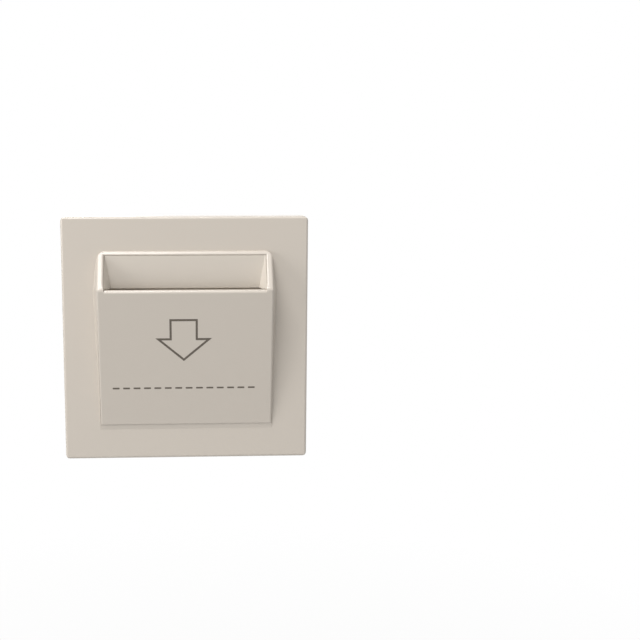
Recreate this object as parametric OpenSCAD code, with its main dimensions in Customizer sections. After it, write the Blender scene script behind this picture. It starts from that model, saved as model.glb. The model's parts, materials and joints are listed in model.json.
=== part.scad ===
// Hotel key card switch: a wall plate with a card pocket, a round switching module
// behind it and three screw terminals. X is right, Y is towards the wall, Z is up.
// The origin is the middle of the wall plane.

/* [Frame] */
// Side of the square front
frame_w = 86; // [80:0.5:92]
// Front face of the frame to the wall
frame_t = 8; // [7:0.1:10]
// Wall behind the front face
face_wall = 2; // [1.6:0.1:2.4]
// Wall of the skirt around the edge
skirt_wall = 1.7; // [1.2:0.1:2]
// Corner radius of the square
frame_corner_r = 1.8; // [1:0.1:4]
// Rounding of the front edge
frame_edge_r = 1; // [0.4:0.1:1.4]

/* [Card pocket] */
// Width of the sloping face of the pocket
pocket_w = 60.6; // [59.6:0.1:62]
// Width of the key card
card_w = 54; // [53:0.1:54.6]
// Play of the card at each side
card_play = 1; // [0.6:0.1:1.2]
// Top of the pocket above the middle
pocket_top = 31; // [30:0.1:32]
// Bottom of the pocket below the middle
pocket_bottom = 30.5; // [29.5:0.1:31]
// Height of the lip above the middle
lip_z = 18.3; // [16:0.1:20]
// How far the lip stands out of the frame
lip_h = 8.2; // [7.4:0.1:9.5]
// How far the top rim stands out of the frame
rim_h = 0.9; // [0.6:0.1:1.3]
// How far the bottom edge stands out of the frame
toe_h = 0.5; // [0.3:0.1:1]
// Wall of the pocket's front
pocket_wall = 2.2; // [1.8:0.1:2.6]
// Wall above the mouth
rim_wall = 1.4; // [1.1:0.1:1.8]
// Draft of the pocket's sides in degrees
side_draft = 12; // [4:1:16]
// Rounding across the lip ridge
ridge_r = 2; // [0.8:0.1:3]
// Rounding along the pocket's edges
pocket_edge_r = 0.8; // [0.4:0.1:1.2]
// Rounding of the pocket's top corners
pocket_corner_r = 2.4; // [1:0.1:3]
// Set of the tray below the top rim
tray_set = 0.2; // [0.2:0.1:0.6]
// Fall of the mouth's floor in degrees
mouth_fall = 1.5; // [1:0.5:3]
// Step from the mouth's floor back to the card space
throat_step = 1.2; // [1:0.1:1.3]
// Draft of the mouth's cheeks in degrees
cheek_draft = 17; // [12:1:18]
// Card gap at the bottom of the pocket
card_gap = 2.5; // [2:0.1:2.7]
// Wall of the card tray
tray_wall = 0.9; // [0.8:0.1:1]

/* [Mounting plate] */
// Wall of the plate's rim
plate_rim = 1.5; // [1.2:0.1:2]
// Thickness of the channel floor
web_t = 1.4; // [1:0.1:1.8]
// Gap between the rim and the raised middle, at the top and the bottom
plateau_gap = 0.8; // [0.6:0.1:1.2]
// Thickness of the raised middle
plateau_t = 1.5; // [1.3:0.1:1.6]
// Set of the raised middle below the wall plane
plateau_set = 0.4; // [0.3:0.1:0.5]
// Distance between the two wall screws
slot_spacing = 60.3; // [60:0.1:60.6]
// Width of a wall screw slot
slot_w = 5.2; // [4.5:0.1:5.6]
// Length of a wall screw slot, end to end
slot_len = 8; // [7:0.1:8.4]
// Radius of the pad around a wall screw slot
pad_r = 6.9; // [6.4:0.1:7.2]
// Middle of a corner boss to the edges of the front
boss_in = 6.5; // [6.3:0.1:7]
// Diameter of a corner boss
boss_d = 8.8; // [8:0.1:9]
// Diameter of the pegs in the corner bosses
peg_d = 4.2; // [3.6:0.1:4.6]
// Thickness of the plate's ribs
rib_t = 1.2; // [1:0.1:1.6]
// Width of the pry tab
tab_w = 7.3; // [6:0.1:9]
// How far the pry tab stands below the frame
tab_out = 1.4; // [1:0.1:2]

/* [Module] */
// Radius of the round module
module_r = 29.7; // [29.2:0.1:30.2]
// Half width at the module's flats
module_half = 29; // [28.6:0.1:29.2]
// Wall of the module base
base_wall = 1.6; // [1.3:0.1:1.8]
// Depth of the base's side wall behind the wall plane
base_depth = 16.5; // [16:0.1:17]
// Depth of the module's rear face behind the wall plane
module_depth = 26; // [25.5:0.1:28]
// Thickness of the rear cover
cover_t = 1.6; // [1.2:0.1:2]
// Inner radius of the rear cover's skirt
cover_inner_r = 26; // [25.7:0.1:26.3]
// Width of a vent notch
notch_w = 2; // [1.4:0.1:2.4]
// Depth of a vent notch
notch_d = 2.4; // [1.4:0.1:2.6]
// Radius cleared for a wall screw beside the module
screw_clear_r = 3.6; // [3:0.1:3.8]
// Top of the cover beside the terminals
cover_low_z = 13.5; // [13.2:0.1:13.8]
// Top of the cover at the middle terminals
cover_high_z = 17.6; // [17.4:0.1:17.8]
// Flat top of the terminal block
terminal_top_z = 27.4; // [27.2:0.1:28]
// Half width of the middle terminal block
terminal_half = 13.2; // [13:0.1:13.4]

/* [Terminals] */
// Diameter of a wire entry
wire_d = 5.1; // [4.6:0.1:5.3]
// Distance between the middle wire entries
wire_pitch = 8.4; // [8.2:0.1:8.6]
// Height of the middle wire entries
wire_mid_z = 21.9; // [21.8:0.05:22]
// Sideways place of the outer wire entries
wire_side_x = 16.9; // [16.7:0.1:17.2]
// Height of the outer wire entries
wire_side_z = 17.9; // [17.8:0.1:18.2]
// Tilt of the outer terminal screws in degrees
screw_tilt = 38; // [34:1:42]
// Diameter of a terminal screw
screw_d = 3.9; // [3.5:0.1:4]
// Diameter of a terminal screw's head
screw_head_d = 6.2; // [5.8:0.1:6.4]
// Height of a terminal screw's head
screw_head_h = 1.8; // [1.4:0.1:2]
// Width of a brass terminal block
block_w = 7.2; // [7:0.1:7.4]
// Length of a brass terminal block
block_len = 8.7; // [8:0.1:9]
// Wall of a brass terminal block
block_wall = 1.4; // [1.2:0.1:1.5]
// Opening of the wire channel in a block
channel_w = 4.8; // [4.6:0.1:5]
// Thickness of a pressure pad
pad_t = 0.8; // [0.6:0.1:1]

/* [Electronics] */
// Thickness of the main board
board_t = 1.6; // [1.2:0.1:1.8]
// Depth of the main board's front face
board_y = 4.4; // [4.2:0.1:4.4]
// Width of the reader board
reader_w = 44; // [42:0.5:45]
// Height of the reader board
reader_h = 40; // [38:0.5:40]
// Thickness of the reader board
reader_t = 1; // [0.8:0.1:1]
// Width of the relay
relay_w = 19; // [18:0.5:19]
// Height of the relay
relay_h = 26.5; // [25:0.5:27]
// Depth of the relay
relay_d = 15.5; // [14.5:0.5:16]
// Wall of the relay's case
relay_wall = 0.8; // [0.6:0.1:1]

/* [Hidden] */
$fn = 64;

// Clearances
eps = 0.05;
snug = 0.1;
slip = 0.2;
free = 0.4;

// Colours
pearl = [0.80, 0.77, 0.73];
shell_white = [0.86, 0.84, 0.80];
brass = [0.78, 0.60, 0.28];
steel = [0.70, 0.70, 0.72];
copper = [0.72, 0.45, 0.25];
board_green = [0.10, 0.33, 0.20];
dark = [0.12, 0.12, 0.13];

// Front panel
mouth_w = card_w + 2 * card_play;
ridge_y = -(frame_t + lip_h);
face_tilt = atan((lip_h - toe_h) / (lip_z + pocket_bottom));
mouth_tilt = atan((lip_h - rim_h) / (pocket_top - lip_z));
inner_face_y = -(frame_t - face_wall);
mouth_top = pocket_top - rim_wall;
stop_z = -pocket_bottom + rim_wall;
lip_r = pocket_wall / 2;
lip_edge_z = lip_z - lip_r;
relief_top_x = 29;
relief_low_x = 17.5;
relief_w = 6.4;
relief_d = 1.2;
function face_y(z) = ridge_y + (lip_z - z) * tan(face_tilt);
function inner_y(z) = face_y(z) + pocket_wall / cos(face_tilt);

// Card tray: the mouth's floor ends in a step at the throat, and the back wall runs on to the card stop
floor_top_y = -(frame_t + rim_h) + tray_set;
floor_stop_y = inner_y(stop_z) + card_gap;
throat_drop = 0.2;
throat_z = lip_z - throat_drop;
function floor_y(z) = floor_top_y + (mouth_top - z) * tan(mouth_fall);
throat_y = floor_y(throat_z) + throat_step;
tray_w = mouth_w - 2 * snug;
flange_t = 1;
flange_y = floor_stop_y - snug;
tray_ear_out = 2.6;
tray_ear_d = 4.4;
tray_ear_x = [19, 13];
tray_ear_z = [mouth_top + tray_ear_out, stop_z - tray_ear_out];
tray_boss_d = 3.6;
tray_screw_d = 1.8;
tray_head_d = 3.6;
tray_head_h = 0.8;
tray_screw_len = 3;
pilot_depth = 0.8;

// Mounting plate
plate_w = frame_w - 2 * (skirt_wall + slip);
boss_spacing = frame_w - 2 * boss_in;
web_y = inner_face_y + free;
tub_wall = 1.4;
latch_top = [2.8, 1.4];
latch_side = [1, 3.2];
plateau_w = mouth_w + 2 * (latch_side[0] + 2 * slip + tub_wall);
plateau_h = plate_w - 2 * (plate_rim + plateau_gap);
tab_t = 1.2;
plateau_y = -plateau_set;
plateau_front = plateau_y - plateau_t;
plateau_r = 4;
rim_corner_r = 1;
boss_end = plateau_y - free;
boss_foot = 1.1;
boss_foot_h = 1;
peg_set = 3.4;
peg_end = boss_end - peg_set;
rib_z = 20.5;
rib_set = 0.2;
stub_rib_z = -1.6;
stub_rib_len = 3.2;
slant_rib_set = 0.8;
slant_rib_len = 8.7;
slant_rib_turn = 130;
corner_step = 0.8;
corner_x = 20.5;
corner_z = -21.5;
corner_sill = 0.8;
latch_top_z = (plateau_h - 2 * tub_wall - latch_top[1]) / 2 - slip;
latch_side_x = (plateau_w - 2 * tub_wall - latch_side[0]) / 2 - slip;
latch_side_z = 13.2;
latch_end_set = 1.2;
latch_end = plateau_y - latch_end_set;

// Module
base_floor_y = plateau_y + base_wall;
cover_y = base_depth + slip;
shelf_t = 1.6;
shelf_rise = 1.5;
cell_rise = 2;
cell_depth = 2.5;
cell_gap = 1.2;
side_shelf_y = base_depth + shelf_rise;
cell_floor_y = side_shelf_y + cell_rise;
cell_rim_y = cell_floor_y + cell_depth;
cell_w = wire_pitch - cell_gap;
cover_low_x = 16.8;
cover_high_x = cover_low_x - (cover_high_z - cover_low_z);
notch_z = [1.4, -4.1, -9.6];
notch_pitch = 8.9;
notch_angles = [for (k = [0.5:3.5]) each [k * notch_pitch, -k * notch_pitch]];
block_top_z = cover_low_z;
block_low_z = 4.2;
block_w_cover = 6;
block_w_base = 8;
block_x = module_half + 0.3;
cover_edge = 1.4;
cell_wall = 0.9;
corner_tab_turn = 44;
corner_tab_w = 12.6;
corner_tab_out = 0.9;
side_notch_turn = 58;
latch_w = 4.4;
latch_room = 2.4;
latch_ledge = 6;
latch_ledge_y = module_depth - latch_ledge;
latch_arm_t = 1.3;
latch_arm_in = 0.8;
latch_root = 4.5;
latch_set = 4.6;
latch_hook = [0.7, 1.1];
latch_side_r = module_half - 2;
latch_block_z = 8.4;
latch_corner_r = module_r - 1.5;
latch_places = [[latch_side_r, latch_block_z, 0], [-latch_side_r, latch_block_z, 180],
    [latch_corner_r * cos(corner_tab_turn), -latch_corner_r * sin(corner_tab_turn), -corner_tab_turn],
    [-latch_corner_r * cos(corner_tab_turn), -latch_corner_r * sin(corner_tab_turn), corner_tab_turn - 180]];
module_screw_in = 4.5;
module_screw_low = 6.2;
module_screw_z = -7;
module_screw_places = [[module_half - module_screw_in, module_screw_z],
    [module_screw_in - module_half, module_screw_z], [0, module_screw_low - module_r]];
module_screw_d = 2.4;
small_head_d = 3.6;
small_head_h = 0.9;
post_out = 1.6;
post_top_z = 13.5;
post_low_x = 13;
post_low = 9.2;
post_places = [for (side = [-1, 1]) each [[side * (wire_side_x + post_out), post_top_z],
    [side * post_low_x, post_low - module_r]]];
post_d = 5.4;
post_set = 0.6;
board_screw_d = 2;

// Terminals: sideways place, height, tilt and rear face of the block
terminals = [[wire_side_x, wire_side_z, screw_tilt, side_shelf_y - shelf_t - slip],
    [0, wire_mid_z, 0, cell_floor_y - shelf_t - slip],
    [-wire_side_x, wire_side_z, -screw_tilt, side_shelf_y - shelf_t - slip]];
channel_half = channel_w / 2;
block_top = channel_half + block_wall;
head_seat = block_top + snug;
pad_rest = -channel_half + 0.5;
head_room = 0.5;
head_travel = 9;
screw_slot = [1, 0.9];
bus_bar_w = 4;
bus_bar_h = 3;

// Boards and relay
board_rear = board_y + board_t;
board_play = 0.7;
board_r = module_r - base_wall - board_play;
reader_rear = plateau_front - 0.5;
reader_front = reader_rear - reader_t;
reader_z = 4;
reader_r = 1.5;
coil_t = 0.1;
coil_turns = 5;
coil_pitch = 1.6;
coil_line = 0.8;
coil_in = 2.6;
stake_in = 2.5;
stake_x = reader_w / 2 - stake_in;
stake_z = reader_h / 2 - stake_in;
stake_d = 1.8;
stake_seat_d = 4;
stake_out = 0.6;
link_x = 4.5;
link_z = -13.4;
link_pitch = 2.54;
link_pin_d = 0.7;
link_body = [4 * link_pitch, 2.5];
link_gap = link_body + [2 * free, 2 * free];
link_pin_out = 0.5;
relay_x = -11;
relay_z = -1.75;
relay_floor = 1.2;
relay_in = [relay_w - 2 * relay_wall - 2 * slip, relay_h - 2 * relay_wall - 2 * slip];
winding_r = 5;
winding_len = 15;
winding_x = -3.5;
flange_r_step = 0.6;
winding_y = relay_floor + winding_r + 0.8;
winding_low_z = -relay_in[1] / 2 + 3;
yoke_w = 8;
yoke_t = 1.3;
yoke_y = winding_y + winding_r + snug;
arm_z = winding_low_z + winding_len + 1.2;
arm_size = [12.6, 2 * winding_r + 0.3, 1];
arm_x = winding_x - yoke_w / 2 + slip;
contact_x = 4;
contact_w = 2;
contact_t = 0.8;
contact_reach = 3.6;
contact_gap = 0.9;
power_place = [9.5, 0];
power_size = [17, 15, 14];
smoothing_low = 9.1;
smoothing_place = [4.5, smoothing_low - module_r];
smoothing_size = [8, 10];
film_place = [15.2, -12.8];
film_size = [12, 5, 10];
varistor_place = [9, 10];
varistor_size = [8, 3];
fuse_place = [-0.9, 14.8];
fuse_size = [5.2, 13];
chip_place = [0, 9.5];
chip_size = [7.4, 5.2, 1.6];

// Extrudes an X-Z outline from depth y0 to depth y1
module along_y(y0, y1) {
    translate([0, y1, 0]) rotate([90, 0, 0]) linear_extrude(y1 - y0) children();
}

// Extrudes a Y-Z outline across a centred width
module along_x(width) {
    rotate([90, 0, 90]) translate([0, 0, -width / 2]) linear_extrude(width) children();
}

// Rectangle with round corners
module bead(w, h, r) {
    square([w - 2 * r, h], center = true);
    square([w, h - 2 * r], center = true);
    for (x = [-1, 1], z = [-1, 1])
        translate([x * (w / 2 - r), z * (h / 2 - r)]) circle(r);
}

function unit(v) = v / norm(v);
// Set-back along each side of a corner at p that a fillet of radius r needs
function set_back(a, p, b, r) = r / tan(acos(unit(a - p) * unit(b - p)) / 2);
function fillet_centre(a, p, b, r) =
    p + unit(unit(a - p) + unit(b - p)) * r / sin(acos(unit(a - p) * unit(b - p)) / 2);

// Convex outline whose corners are rounded by the radii
module soft_corners(points, radii) {
    n = len(points);
    polygon([for (i = [0:n - 1])
        let (a = points[(i + n - 1) % n], p = points[i], b = points[(i + 1) % n],
            t = set_back(a, p, b, radii[i]))
        each radii[i] == 0 ? [p] : [p + unit(a - p) * t, p + unit(b - p) * t]]);
    for (i = [0:n - 1])
        if (radii[i] > 0)
            translate(fillet_centre(points[(i + n - 1) % n], points[i], points[(i + 1) % n], radii[i]))
                circle(radii[i]);
}

// A screw that points along +Y, with its head's seat at the origin
module panhead(d, length, head_d, head_h, slot = 0.6) {
    rotate([-90, 0, 0]) {
        cylinder(d = d, h = length);
        difference() {
            translate([0, 0, -head_h]) cylinder(d = head_d, h = head_h);
            translate([-head_d, -slot / 2, -head_h - 1]) cube([2 * head_d, slot, 1 + head_h / 2]);
        }
    }
}

// Section of the card pocket across its slope: a drafted block with round front edges
module pocket_section() {
    depth = frame_w;
    half = pocket_w / 2;
    soft_corners([[-half, 0], [half, 0], [half + depth * tan(side_draft), depth],
        [-half - depth * tan(side_draft), depth]], [pocket_edge_r, pocket_edge_r, 0, 0]);
}

// Side view of the card pocket, with its round ridge
module pocket_side() {
    root = -(frame_t - face_wall / 2);
    soft_corners([[root, -pocket_bottom], [face_y(-pocket_bottom), -pocket_bottom], [ridge_y, lip_z],
        [-(frame_t + rim_h), pocket_top], [root, pocket_top]], [0, toe_h / 2, ridge_r, rim_h * 0.8, 0]);
}

// One drafted run of the card pocket, along a slope through the lip ridge
module pocket_run(tilt) {
    translate([0, ridge_y, lip_z]) rotate([tilt, 0, 0]) translate([0, 0, -frame_w])
        linear_extrude(2 * frame_w) pocket_section();
}

// Outer form of the card pocket: two drafted runs that meet at the lip ridge
module pocket_form() {
    difference() {
        intersection() {
            pocket_run(face_tilt);
            pocket_run(-mouth_tilt);
            along_x(2 * frame_w) pocket_side();
        }
        for (side = [0, 1]) mirror([side, 0, 0])
            translate([pocket_w / 2 - pocket_corner_r, 0, pocket_top - pocket_corner_r])
                along_y(ridge_y, 0) difference() {
                    square(2 * pocket_corner_r);
                    circle(pocket_corner_r);
                }
    }
}

// Square frame with a round front edge
module frame_form() {
    edge = [[0, -frame_w / 2], [-frame_t, -frame_w / 2], [-frame_t, frame_w / 2], [0, frame_w / 2]];
    radii = [0, frame_edge_r, frame_edge_r, 0];
    intersection() {
        along_y(-frame_t, -slip) bead(frame_w, frame_w, frame_corner_r);
        along_x(frame_w) soft_corners(edge, radii);
        rotate([0, 90, 0]) along_x(frame_w) soft_corners(edge, radii);
    }
}

// Notch in the skirt's rear edge, at its top (end 1) or its bottom (end -1)
module skirt_notch(x, end, width, depth) {
    along_y(-depth, 1) translate([x, end * frame_w / 2])
        square([width, 2 * skirt_wall + 2 * slip], center = true);
}

module front_panel() {
    cavity = frame_w - 2 * skirt_wall;
    color(pearl) {
        difference() {
            union() {
                frame_form();
                pocket_form();
            }
            along_y(inner_face_y, 1) bead(cavity, cavity, frame_corner_r / 2);
            // Card space, and the mouth above the lip
            along_x(mouth_w) polygon([[0, stop_z], [inner_y(stop_z), stop_z],
                [inner_y(lip_edge_z), lip_edge_z], [2 * ridge_y, lip_edge_z],
                [2 * ridge_y, mouth_top], [0, mouth_top]]);
            // Room for the pry tab, and shallow relief notches in the skirt's rear edge
            skirt_notch(0, -1, tab_w + 2 * free, tab_t + 2 * free);
            for (side = [-1, 1]) {
                skirt_notch(side * relief_top_x, 1, relief_w, relief_d);
                skirt_notch(side * relief_low_x, -1, relief_w, relief_d);
            }
            tray_screw_holes(inner_face_y - pilot_depth);
        }
        // Round edge of the lip
        translate([0, inner_y(lip_edge_z) - lip_r / cos(face_tilt), lip_edge_z]) rotate([0, 90, 0])
            cylinder(r = lip_r, h = mouth_w + 2 * free, center = true);
        difference() {
            for (i = [0, 1], side = [-1, 1])
                translate([side * tray_ear_x[i], 0, tray_ear_z[i]])
                    along_y(inner_face_y - eps, flange_y) circle(d = tray_boss_d);
            tray_screw_holes(inner_face_y - pilot_depth);
        }
        // Corner pegs and latch tongues
        for (x = [-1, 1], z = [-1, 1])
            translate([x * boss_spacing / 2, 0, z * boss_spacing / 2])
                along_y(inner_face_y - eps, peg_end) circle(d = peg_d);
        along_y(inner_face_y - eps, latch_end) {
            translate([0, latch_top_z]) square(latch_top, center = true);
            for (side = [-1, 1])
                translate([side * latch_side_x, latch_side_z]) square(latch_side, center = true);
        }
    }
}

// Pilot holes for the tray screws, from depth y0 to the flange
module tray_screw_holes(y0) {
    for (i = [0, 1], side = [-1, 1])
        translate([side * tray_ear_x[i], 0, tray_ear_z[i]])
            along_y(y0, flange_y + flange_t + 1) circle(d = tray_screw_d + snug);
}

// Side view of the tray's front: the mouth's floor, the throat step and the back wall
function tray_front(top_z) = [[floor_y(top_z), top_z], [floor_y(throat_z), throat_z],
    [throat_y, throat_z], [floor_stop_y, stop_z]];

// Drafted cheeks at the sides of the mouth, clear of the lip
module mouth_cheeks(top_z) {
    depth = frame_t + lip_h;
    slot_y = inner_y(lip_edge_z) + free;
    intersection() {
        along_x(tray_w) polygon([[floor_y(top_z) + eps, top_z], [floor_y(throat_z) + eps, throat_z],
            [slot_y, throat_z], [slot_y, lip_z + slip], [ridge_y, lip_z + slip], [ridge_y, top_z]]);
        for (side = [0, 1]) mirror([side, 0, 0])
            translate([tray_w / 2, ridge_y, lip_z]) rotate([-mouth_tilt, 0, 0]) translate([0, 0, -depth])
                linear_extrude(3 * depth)
                    polygon([[0, slip], [0, depth], [-(depth - slip) * tan(cheek_draft), depth]]);
    }
}

module card_tray() {
    top_z = mouth_top - snug;
    rear_y = flange_y + flange_t;
    far = 2 * frame_w;
    stop_low = stop_z + slip;
    ear_root = [top_z - tray_wall, stop_low + tray_wall];
    color(pearl) difference() {
        union() {
            along_x(tray_w) polygon([each tray_front(top_z), [floor_stop_y + tray_wall, stop_z],
                [throat_y + tray_wall, throat_z + tray_wall],
                [floor_y(throat_z) + tray_wall, throat_z + tray_wall], [floor_y(top_z) + tray_wall, top_z]]);
            mouth_cheeks(top_z);
            // Side walls and top wall behind the floor
            intersection() {
                along_x(tray_w) polygon([each tray_front(top_z), [rear_y, stop_z], [rear_y, top_z]]);
                union() {
                    for (side = [-1, 1])
                        translate([side * (tray_w - tray_wall) / 2, 0, 0])
                            cube([tray_wall, far, far], center = true);
                    translate([0, 0, top_z - tray_wall / 2]) cube([tray_w, far, tray_wall], center = true);
                }
            }
            // Card stop
            along_x(tray_w) translate([inner_y(stop_z) + slip, stop_low])
                square([rear_y - inner_y(stop_z) - slip, tray_wall]);
            // Screw ears
            for (i = [0, 1], side = [-1, 1])
                along_y(flange_y, rear_y) translate([side * tray_ear_x[i], 0]) {
                    translate([0, tray_ear_z[i]]) circle(d = tray_ear_d);
                    translate([-tray_ear_d / 2, min(tray_ear_z[i], ear_root[i])])
                        square([tray_ear_d, abs(tray_ear_z[i] - ear_root[i])]);
                }
        }
        tray_screw_holes(flange_y - 1);
    }
}

module tray_screws() {
    color(steel) for (i = [0, 1], side = [-1, 1])
        translate([side * tray_ear_x[i], flange_y + flange_t, tray_ear_z[i]]) rotate([180, 0, 0])
            panhead(tray_screw_d, tray_screw_len, tray_head_d, tray_head_h);
}

// Outline of the plate's raised middle with its two screw pads, drawn in by inset
module plateau_outline(inset = 0) {
    bead(plateau_w - 2 * inset, plateau_h - 2 * inset, plateau_r - inset);
    for (side = [-1, 1]) translate([side * slot_spacing / 2, 0]) circle(pad_r - inset);
}

// Lower corners of the raised middle, which step towards the front
module lower_corners(inset = 0) {
    low = -plateau_h / 2 + tub_wall;
    left = corner_x + inset;
    for (side = [0, 1]) mirror([side, 0])
        translate([left, low]) square([plateau_w / 2 - tub_wall - left, corner_z - inset - low]);
}

module mounting_plate() {
    rim_in = plate_w - 2 * plate_rim;
    web_back = web_y + web_t;
    color(shell_white) difference() {
        union() {
            along_y(web_y, 0) difference() {
                bead(plate_w, plate_w, rim_corner_r);
                square(rim_in, center = true);
            }
            along_y(web_y, web_back) difference() {
                square(plate_w - plate_rim, center = true);
                plateau_outline(tub_wall);
            }
            along_y(web_y, plateau_y) difference() {
                plateau_outline();
                plateau_outline(tub_wall);
            }
            along_y(plateau_front, plateau_y) plateau_outline();
            along_y(plateau_front - corner_step, plateau_front + eps) lower_corners(-tub_wall / 2);
            // Cross ribs in the side channels, short ribs at the top and slanted ribs at the lower bosses
            for (side = [0, 1]) mirror([side, 0, 0]) {
                for (z = [rib_z, corner_z])
                    along_y(web_y, plateau_y - rib_set) translate([(plateau_w - tub_wall) / 2, z])
                        square([(rim_in - plateau_w + tub_wall + plate_rim) / 2, rib_t]);
                along_y(web_y, plateau_y - slant_rib_set) translate([rim_in / 2 - stub_rib_len, stub_rib_z])
                    square([stub_rib_len + plate_rim / 2, rib_t]);
                for (z = [0, 1]) mirror([0, 0, z])
                    along_y(web_y, plateau_y - rib_set) translate([corner_x, (plateau_h - tub_wall) / 2])
                        square([rib_t, (rim_in - plateau_h + tub_wall + plate_rim) / 2]);
                translate([boss_spacing / 2, 0, -boss_spacing / 2]) along_y(web_y, plateau_y - slant_rib_set)
                    rotate(slant_rib_turn) translate([0, -rib_t / 2]) square([slant_rib_len, rib_t]);
            }
            for (x = [-1, 1], z = [-1, 1]) translate([x * boss_spacing / 2, 0, z * boss_spacing / 2]) {
                along_y(web_y, boss_end) circle(d = boss_d);
                along_y(web_y, web_back + boss_foot_h) intersection() {
                    circle(d = boss_d + 2 * boss_foot);
                    translate([-x, -z] * boss_foot) square(boss_d + 2 * boss_foot, center = true);
                }
            }
            // Pry tab
            along_y(-tab_t, 0) translate([-tab_w / 2, -frame_w / 2 - tab_out])
                square([tab_w, tab_out + skirt_wall + slip + plate_rim]);
            // Seats and stakes of the reader board
            for (x = [-1, 1], z = [-1, 1]) translate([x * stake_x, 0, reader_z + z * stake_z]) {
                along_y(reader_rear, plateau_front + eps) circle(d = stake_seat_d);
                along_y(reader_front - stake_out, plateau_front) circle(d = stake_d);
            }
        }
        along_y(web_y - 1, 1) {
            for (side = [-1, 1], end = [-1, 1])
                translate([side * slot_spacing / 2 + end * (slot_len - slot_w) / 2, 0]) circle(d = slot_w);
            for (side = [-1, 1])
                translate([side * slot_spacing / 2, 0]) square([slot_len - slot_w, slot_w], center = true);
            for (x = [-1, 1], z = [-1, 1])
                translate([x * boss_spacing / 2, z * boss_spacing / 2]) circle(d = peg_d + snug);
            translate([0, latch_top_z]) square(latch_top + [2 * slip, 2 * slip], center = true);
            for (side = [-1, 1]) translate([side * latch_side_x, latch_side_z])
                square(latch_side + [2 * slip, 2 * slip], center = true);
            for (p = module_screw_places) translate(p) circle(d = module_screw_d + slip);
            translate([link_x, link_z]) square(link_gap, center = true);
        }
        along_y(plateau_front - eps, 1) lower_corners(corner_sill);
    }
}

module reader_link_holes() {
    for (k = [-1.5:1.5]) translate([link_x + k * link_pitch, link_z]) circle(d = link_pin_d + slip + snug);
}

module antenna_board() {
    color(board_green) along_y(reader_front, reader_rear) difference() {
        translate([0, reader_z]) bead(reader_w, reader_h, reader_r);
        for (x = [-1, 1], z = [-1, 1])
            translate([x * stake_x, reader_z + z * stake_z]) circle(d = stake_d + slip);
        for (p = module_screw_places) translate(p) circle(d = small_head_d + 2 * free);
        reader_link_holes();
    }
}

// Square spiral: corner k of a line whose turns step inwards
function spiral_corner(k, half_w, half_h, step) =
    let (turn = floor(k / 4), side = k % 4, in = turn * step)
    side == 0 ? [-half_w + in, half_h - in] :
    side == 1 ? [half_w - in, half_h - in] :
    side == 2 ? [half_w - in, -half_h + in] :
    [-half_w + in + step, -half_h + in];

module antenna_coil() {
    half_w = stake_x - coil_in;
    half_h = stake_z - coil_in;
    outer = [for (k = [0:4 * coil_turns - 1]) spiral_corner(k, half_w, half_h, coil_pitch)];
    inner = [for (k = [4 * coil_turns - 1:-1:0])
        spiral_corner(k, half_w - coil_line, half_h - coil_line, coil_pitch)];
    color(copper) translate([0, 0, reader_z]) along_y(reader_front - coil_t, reader_front)
        polygon(concat(outer, inner));
}

module link_header() {
    color(dark) along_y(board_y - link_body[1], board_y) difference() {
        translate([link_x, link_z]) square(link_body, center = true);
        reader_link_holes();
    }
}

module link_pins() {
    color(brass) for (k = [-1.5:1.5])
        translate([link_x + k * link_pitch, 0, link_z])
            along_y(reader_front - link_pin_out, board_rear + link_pin_out) circle(d = link_pin_d);
}

// Outline of the module base: a circle with flats, corner blocks and grooves for the wall screws
module base_outline(inset = 0) {
    half = module_half - slip - inset;
    difference() {
        union() {
            intersection() {
                circle(module_r - inset);
                translate([-half, -module_r]) square([2 * half, module_r + terminal_top_z - inset]);
            }
            for (side = [0, 1]) mirror([side, 0])
                translate([half - block_w_base, block_low_z + inset])
                    square([block_w_base, block_top_z - block_low_z - 2 * inset]);
        }
        for (side = [-1, 1]) translate([side * slot_spacing / 2, 0]) circle(screw_clear_r + inset);
    }
}

// Everything below the top edge of the rear cover
module cover_zone(rise = 0) {
    far = 2 * module_r;
    polygon([[-far, -far], [far, -far], [far, cover_low_z + rise], [cover_low_x, cover_low_z + rise],
        [cover_high_x, cover_high_z + rise], [-cover_high_x, cover_high_z + rise],
        [-cover_low_x, cover_low_z + rise], [-far, cover_low_z + rise]]);
}

module at_terminal(i) {
    translate([terminals[i][0], 0, terminals[i][1]]) rotate([0, terminals[i][2], 0]) children();
}

module at_latches() {
    for (p = latch_places)
        translate([p[0], 0, p[1]]) rotate([0, -p[2], 0]) children();
}

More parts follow.
